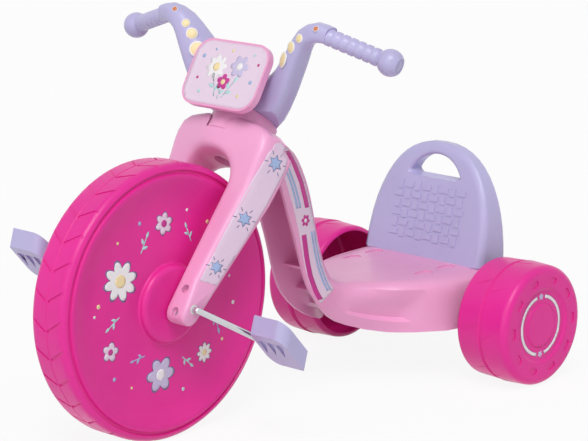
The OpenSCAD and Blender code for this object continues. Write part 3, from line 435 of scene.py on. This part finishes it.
def rounded(w, h, r, n=6):
    """A rectangle with rounded corners."""
    corners = ((w / 2 - r, h / 2 - r, 0), (r - w / 2, h / 2 - r, 90),
               (r - w / 2, r - h / 2, 180), (w / 2 - r, r - h / 2, 270))
    return [at(start + 90 * i / n, r, (x, y)) for x, y, start in corners for i in range(n + 1)]


def ribbon(line, width, shift=0):
    """A strip of one width along a line that runs mostly down, moved across by shift."""
    return ([(x + shift - width / 2, z) for x, z in line]
            + [(x + shift + width / 2, z) for x, z in reversed(line)])


def daisy(sticker, centre, r, petal, eye, count=6, turn=0):
    """A daisy with an inked rim and a round eye."""
    sticker.add(petals(r * 1.1, count, centre, turn), "ink", LIFT_RIM)
    sticker.add(petals(r, count, centre, turn), petal, LIFT_PETAL)
    sticker.add(disc(r * 0.33, centre, 20), eye, LIFT_EYE)


STALK_W = 1.6
# Where each leaf sits along the stalk, and how far it turns from it
LEAVES = ((1.0, 0), (0.55, 48), (0.3, -48))


def sprig(sticker, centre, size, colour, turn):
    """A stalk with three leaves."""
    sticker.add(bar(centre, at(turn, size, centre), STALK_W), colour)
    for along, side in LEAVES:
        middle = at(turn + side, size * 0.22, at(turn, size * along, centre))
        sticker.add(leaf(size * 0.5, size * 0.2, middle, turn + side), colour, LIFT_PETAL)


# Fork legs: a pale panel with burst stars

# Points of the panel, ahead of the steering axis and up it, from the axle
PANEL = ((10, 38), (13, 100), (16, 170), (18, 235), (13, 254), (2, 261), (-12, 256),
         (-20, 231), (-19, 150), (-17, 90), (-15, 46))
# The same two places of each star, and its radius
STARS = ((-1, 66, 9), (-1, 142, 10), (0, 230, 11))
STAR_POINTS = 6
STAR_TURN = 12
STAR_DEPTH = 0.54
# The inked rim's radius and depth, and the ticks' ends, as shares of the star's radius
STAR_RIM, STAR_RIM_DEPTH = 1.14, 0.56
TICK_FROM, TICK_TO = 1.15, 1.65
TICK_W = 1.2


def fork_sticker(side):
    """The panel of one leg."""
    def place(u, v):
        return FRONT_AXLE + STEER_FORE * u * MM + STEER_UP * v * MM

    s = Sticker("fork_sticker_" + ("left" if side > 0 else "right"), "fork", place, (0, -side, 0))
    s.add(PANEL, "haze")
    for n, t, r in STARS:
        centre = (n, t)
        s.add(star(r * STAR_RIM, STAR_POINTS, STAR_RIM_DEPTH, centre, STAR_TURN), "ink", LIFT_INK)
        s.add(star(r, STAR_POINTS, STAR_DEPTH, centre, STAR_TURN), "sky", LIFT_STAR)
        for k in range(STAR_POINTS):
            a = 360 * (k + 0.5) / STAR_POINTS + STAR_TURN
            tick = bar(at(a, r * TICK_FROM, centre), at(a, r * TICK_TO, centre), TICK_W)
            s.add(tick, "ink", LIFT_INK)
    s.done()


# Neck: a pale panel with a broad stripe and a double stripe, which change sides at a daisy

# All places ahead of the front axle and up from the ground
NECK_FORE = ((-214, 345), (-223, 330), (-231, 310), (-239, 290), (-246, 270), (-253, 245),
             (-258, 225), (-262, 205), (-267, 185), (-275, 165), (-285, 148), (-294, 136))
NECK_REAR = ((-228, 372), (-243, 358), (-256, 338), (-266, 318), (-274, 298), (-281, 278),
             (-286, 258), (-291, 238), (-297, 215), (-304, 192), (-313, 170), (-322, 152))
BERRY_UPPER = ((-231, 366), (-244, 346), (-259, 317), (-268, 290), (-271, 279))
SKY_UPPER = ((-229, 341), (-240, 319), (-248, 298), (-253, 281))
BERRY_LOWER = ((-263, 241), (-269, 205), (-275, 180), (-285, 155), (-293, 142))
SKY_LOWER = ((-282, 243), (-288, 215), (-295, 190), (-305, 165), (-312, 152))
BERRY_W = 10
SKY_W = 4
SKY_SHIFTS = (-3, 3)
NECK_DAISY = (-267, 261)
NECK_DAISY_R = 9


def neck_sticker(side):
    """The panel of one side of the neck."""
    def place(u, v):
        return Vector((FRONT_AXLE.x + u * MM, 0, v * MM))

    s = Sticker("neck_sticker_" + ("left" if side > 0 else "right"), "body", place, (0, -side, 0), 4)
    s.add(NECK_FORE + NECK_REAR[::-1], "paper")
    for line in (BERRY_UPPER, BERRY_LOWER):
        s.add(ribbon(line, BERRY_W), "berry", LIFT_STRIPE)
    for line in (SKY_UPPER, SKY_LOWER):
        for shift in SKY_SHIFTS:
            s.add(ribbon(line, SKY_W, shift), "sky", LIFT_STRIPE)
    daisy(s, NECK_DAISY, NECK_DAISY_R, "berry", "white", 6, 12)
    s.done()


# Front wheel discs: daisies, sprigs and dots

# Angle, distance from the axle, radius, petal, eye, petal count, turn
WHEEL_DAISIES = (
    (152, 96, 27, "white", "cream", 8, 10),
    (262, 98, 24, "lilac", "white", 6, 0),
    (28, 100, 22, "mint", "cream", 7, 20),
    (205, 114, 13, "paper", "berry", 5, 5),
    (310, 108, 14, "white", "cream", 8, 0),
    (92, 110, 15, "paper", "berry", 6, 15))
# Angle, distance from the axle, size, colour, turn
WHEEL_SPRIGS = (
    (122, 90, 22, "mint", 60), (182, 88, 20, "mint", 215), (236, 78, 18, "sky", 190),
    (288, 84, 20, "mint", 320), (340, 94, 22, "sky", 290), (60, 90, 20, "mint", 110))
# Angle, distance from the axle, radius, colour
WHEEL_DOTS = (
    (172, 124, 3.2, "cream"), (178, 130, 2.2, "white"), (222, 130, 2.8, "sky"),
    (238, 124, 2.0, "cream"), (283, 130, 2.8, "mint"), (326, 126, 2.4, "cream"),
    (350, 128, 3.0, "white"), (8, 120, 2.2, "paper"), (52, 126, 2.8, "cream"),
    (72, 128, 2.2, "white"), (112, 126, 2.8, "sky"), (132, 130, 2.2, "cream"))


def wheel_sticker(side):
    """The print of one disc of the front wheel."""
    def place(u, v):
        return FRONT_AXLE + Vector((-side * u, 0, v)) * MM

    name = "left" if side > 0 else "right"
    s = Sticker("wheel_sticker_" + name, "front_wheel_" + name, place, (0, -side, 0), 4)
    for a, d, size, colour, turn in WHEEL_SPRIGS:
        sprig(s, at(a, d), size, colour, turn)
    for a, d, r, petal, eye, count, turn in WHEEL_DAISIES:
        daisy(s, at(a, d), r, petal, eye, count, turn)
    for a, d, r, colour in WHEEL_DOTS:
        s.add(disc(r, at(a, d), 14), colour)
    s.done()


# Front plate: a pale panel with a posy

# The head's top, up the steering axis from the axle, where the handlebar's foot stands
HEAD_TOP = 289.5
BAR_ORIGIN = FRONT_AXLE + STEER_UP * HEAD_TOP * MM
PLATE_LEAN = math.radians(30)
PLATE_NORMAL = Vector((math.cos(PLATE_LEAN), 0, math.sin(PLATE_LEAN)))
PLATE_UP = Vector((-math.sin(PLATE_LEAN), 0, math.cos(PLATE_LEAN)))
PLATE_CENTRE = BAR_ORIGIN + Vector((37.9, 0, 63.65)) * MM
PLATE_W, PLATE_H, PLATE_R = 134, 92, 24
# Foot, size and turn
PLATE_SPRIGS = (((-7, -33), 26, 116), ((7, -33), 26, 62), ((0, -36), 22, 90))
# Across, up, radius, colour
PLATE_DOTS = (
    (-52, 22, 3, "sky"), (-50, -10, 2.2, "berry"), (-38, -29, 2.6, "mint"), (50, -6, 3, "sky"),
    (53, 20, 2.2, "berry"), (36, -28, 2.6, "cream"), (-2, 35, 2.6, "cream"), (40, 33, 2, "mint"),
    (-34, 34, 2, "sky"))


def plate_sticker():
    """The front plate's print."""
    def place(u, v):
        return PLATE_CENTRE + Vector((0, u * MM, 0)) + PLATE_UP * v * MM

    s = Sticker("plate_sticker", "front_plate", place, -PLATE_NORMAL, 5)
    s.add(rounded(PLATE_W, PLATE_H, PLATE_R), "paper")
    for centre, size, turn in PLATE_SPRIGS:
        sprig(s, centre, size, "mint", turn)
    daisy(s, (-22, 9), 19, "white", "cream", 8, 8)
    daisy(s, (20, 14), 17, "lilac", "white", 6, 0)
    daisy(s, (0, -11), 12, "berry", "cream", 5, 18)
    for u, v, r, colour in PLATE_DOTS:
        s.add(disc(r, (u, v), 14), colour, LIFT_DOT)
    s.done()


# Rear wheels: a broken white ring round the hub

RING_R = 43
RING_HALF = 2.3
# Half of each arc's angle, in degrees, and the inked rim's width and what it adds to the angle
RING_SPAN = 78
RING_RIM = 0.6
RING_RIM_SPAN = 1
RING_DAISY_R = 5


def rear_sticker(side):
    """The ring of one rear wheel."""
    def place(u, v):
        return Vector((REAR_WHEEL.x, side * REAR_WHEEL.y, REAR_WHEEL.z)) + Vector((-side * u, 0, v)) * MM

    name = "left" if side > 0 else "right"
    s = Sticker("rear_sticker_" + name, "rear_wheel_" + name + "_outer", place, (0, -side, 0), 4)
    for middle in (0, 180):
        for rim, more, film_name, lift in ((RING_RIM, RING_RIM_SPAN, "ink", LIFT_RIM),
                                           (0, 0, "white", LIFT_PETAL)):
            half, span = RING_HALF + rim, RING_SPAN + more
            s.add(arc_band(RING_R - half, RING_R + half, middle - span, middle + span),
                  film_name, lift)
    for middle in (90, 270):
        s.add(petals(RING_DAISY_R, 5, at(middle, RING_R), middle), "lilac", LIFT_PETAL)
    s.done()


# Handlebar: cream lenses with white rims up each arm, and a small one at the bend

# Across and up from the head's top, and radius, up the left and the right arm
LENSES = {
    1: ((88.3, 93, 9.5, "cream"), (105, 112, 7, "cream"), (120, 125.5, 5.2, "cream"),
        (146.4, 140.8, 3.4, "orange")),
    -1: ((80.5, 89, 9.5, "cream"), (92.3, 109.4, 7, "cream"), (103, 123, 5.2, "cream"),
         (124.7, 140.8, 3.4, "orange"))}
# Radius share, height and film of each ring of a lens, from the rim's foot inwards
LENS_RINGS = ((1.22, -0.8, 0), (1.22, 0.35, 0), (1.16, 0.7, 0), (1.0, 0.7, 0), (0.96, 0.9, 1),
              (0.75, 1.5, 1), (0.4, 1.9, 1))
LENS_SIDES = 28
# How far ahead of the handlebar a ray starts that looks for a lens's seat
LENS_AHEAD = 150


def lenses(side):
    """The lenses of one arm, seated on its front."""
    tree = surface_of([SHELLS["handlebar"]])
    bm = bmesh.new()
    films = ["white", "cream", "orange"]
    for y, z, r, colour in LENSES[side]:
        start = BAR_ORIGIN + Vector((LENS_AHEAD, side * y, z)) * MM
        point, normal, _, _ = tree.ray_cast(start, Vector((-1, 0, 0)), 2 * REACH)
        seat = Matrix.Translation(point) @ normal.to_track_quat("Z", "Y").to_matrix().to_4x4()
        loops = []
        for k, h, _ in LENS_RINGS:
            ring = [at(360 * i / LENS_SIDES, r * k) for i in range(LENS_SIDES)]
            loops.append([bm.verts.new(seat @ (Vector((u, v, h)) * MM)) for u, v in ring])
        for inner, outer, ring in zip(loops[1:], loops, LENS_RINGS[1:]):
            for i in range(LENS_SIDES):
                j = (i + 1) % LENS_SIDES
                face = bm.faces.new((outer[i], outer[j], inner[j], inner[i]))
                face.material_index = films.index(colour) if ring[2] else 0
                face.smooth = True
        for loop, index in ((loops[-1], films.index(colour)), (loops[0][::-1], 0)):
            face = bm.faces.new(loop)
            face.material_index = index
            face.smooth = index > 0
    mesh = bpy.data.meshes.new("lenses")
    bm.to_mesh(mesh)
    bm.free()
    for film_name in films:
        mesh.materials.append(FILMS[film_name])
    obj = bpy.data.objects.new("bar_lenses_" + ("left" if side > 0 else "right"), mesh)
    bpy.context.scene.collection.objects.link(obj)
    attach(obj, BODY_OF["handlebar"])


for side in (1, -1):
    fork_sticker(side)
    neck_sticker(side)
    wheel_sticker(side)
    rear_sticker(side)
    lenses(side)
plate_sticker()


# Stage: white floor, soft light and the camera at the photograph's angle

FLOOR_SIZE = 60
FLOOR_GREY = 0.86
FLOOR_ROUGH = 0.9
# Share of plain white in the floor as seen, the rest keeps the shadow
FLOOR_WHITE = 0.9
WORLD_LIGHT = 0.36
# Name, where it shines from, strength and angular size in degrees
SUNS = (("key", (0.55, 0.5, 1.0), 1.6, 30), ("fill", (1.0, 0.3, 0.4), 0.6, 60))


def seen_directly(tree):
    """A value of 1 for rays from the camera, a mirror or a glass, and 0 for the rest."""
    path = tree.nodes.new("ShaderNodeLightPath")
    total = path.outputs["Is Camera Ray"]
    for other in ("Is Glossy Ray", "Is Transmission Ray"):
        node = tree.nodes.new("ShaderNodeMath")
        node.operation = "MAXIMUM"
        tree.links.new(total, node.inputs[0])
        tree.links.new(path.outputs[other], node.inputs[1])
        total = node.outputs["Value"]
    return total


def scaled(tree, value, low, high):
    """A value of 0 to 1 as one between low and high."""
    node = tree.nodes.new("ShaderNodeMapRange")
    node.inputs["To Min"].default_value = low
    node.inputs["To Max"].default_value = high
    tree.links.new(value, node.inputs["Value"])
    return node.outputs["Result"]


def stage():
    """Floor, world and lamps."""
    bpy.ops.mesh.primitive_plane_add(size=FLOOR_SIZE, location=(0, 0, 0))
    floor = bpy.context.object
    floor.name = "floor"
    mat, tree, shader = new_material("floor")
    shader.inputs["Base Color"].default_value = grey(FLOOR_GREY)
    shader.inputs["Roughness"].default_value = FLOOR_ROUGH
    white = tree.nodes.new("ShaderNodeEmission")
    white.inputs["Color"].default_value = grey(1)
    mix = tree.nodes.new("ShaderNodeMixShader")
    tree.links.new(scaled(tree, seen_directly(tree), 0, FLOOR_WHITE), mix.inputs["Fac"])
    tree.links.new(shader.outputs["BSDF"], mix.inputs[1])
    tree.links.new(white.outputs["Emission"], mix.inputs[2])
    tree.links.new(mix.outputs["Shader"], tree.nodes["Material Output"].inputs["Surface"])
    floor.data.materials.append(mat)

    world = bpy.data.worlds.new("studio")
    bpy.context.scene.world = world
    world.use_nodes = True
    tree = world.node_tree
    sky = tree.nodes["Background"]
    sky.inputs["Color"].default_value = grey(1)
    tree.links.new(scaled(tree, seen_directly(tree), WORLD_LIGHT, 1), sky.inputs["Strength"])

    for name, source, strength, size in SUNS:
        light = bpy.data.lights.new(name, "SUN")
        light.energy = strength
        light.angle = math.radians(size)
        lamp = bpy.data.objects.new(name, light)
        lamp.rotation_euler = Vector(source).to_track_quat("Z", "Y").to_euler()
        bpy.context.scene.collection.objects.link(lamp)


# The camera's axes, and its place from the point on the ground under the front axle
CAMERA_RIGHT = (-0.6904, 0.7234, 0)
CAMERA_UP = (-0.1594, -0.1521, 0.9754)
CAMERA_BACK = (0.7057, 0.6734, 0.2204)
CAMERA_EYE = Vector((2.3294, 2.4865, 1.0684))
# Focal length as a multiple of the picture's width
LENS_RATIO = 2600 / 588
SENSOR_W = 36
CLIP_END = 50


def camera():
    """The camera fitted to the photograph: a long lens, above and to the front left."""
    data = bpy.data.cameras.new("camera")
    data.sensor_width = SENSOR_W
    data.lens = LENS_RATIO * SENSOR_W
    data.clip_end = CLIP_END
    obj = bpy.data.objects.new("camera", data)
    eye = CAMERA_EYE + Vector((FRONT_AXLE.x, 0, 0))
    turn = Matrix((CAMERA_RIGHT, CAMERA_UP, CAMERA_BACK)).transposed()
    obj.matrix_world = Matrix.Translation(eye) @ turn.to_4x4()
    bpy.context.scene.collection.objects.link(obj)
    bpy.context.scene.camera = obj


stage()
camera()
bpy.context.scene.view_settings.view_transform = "Standard"
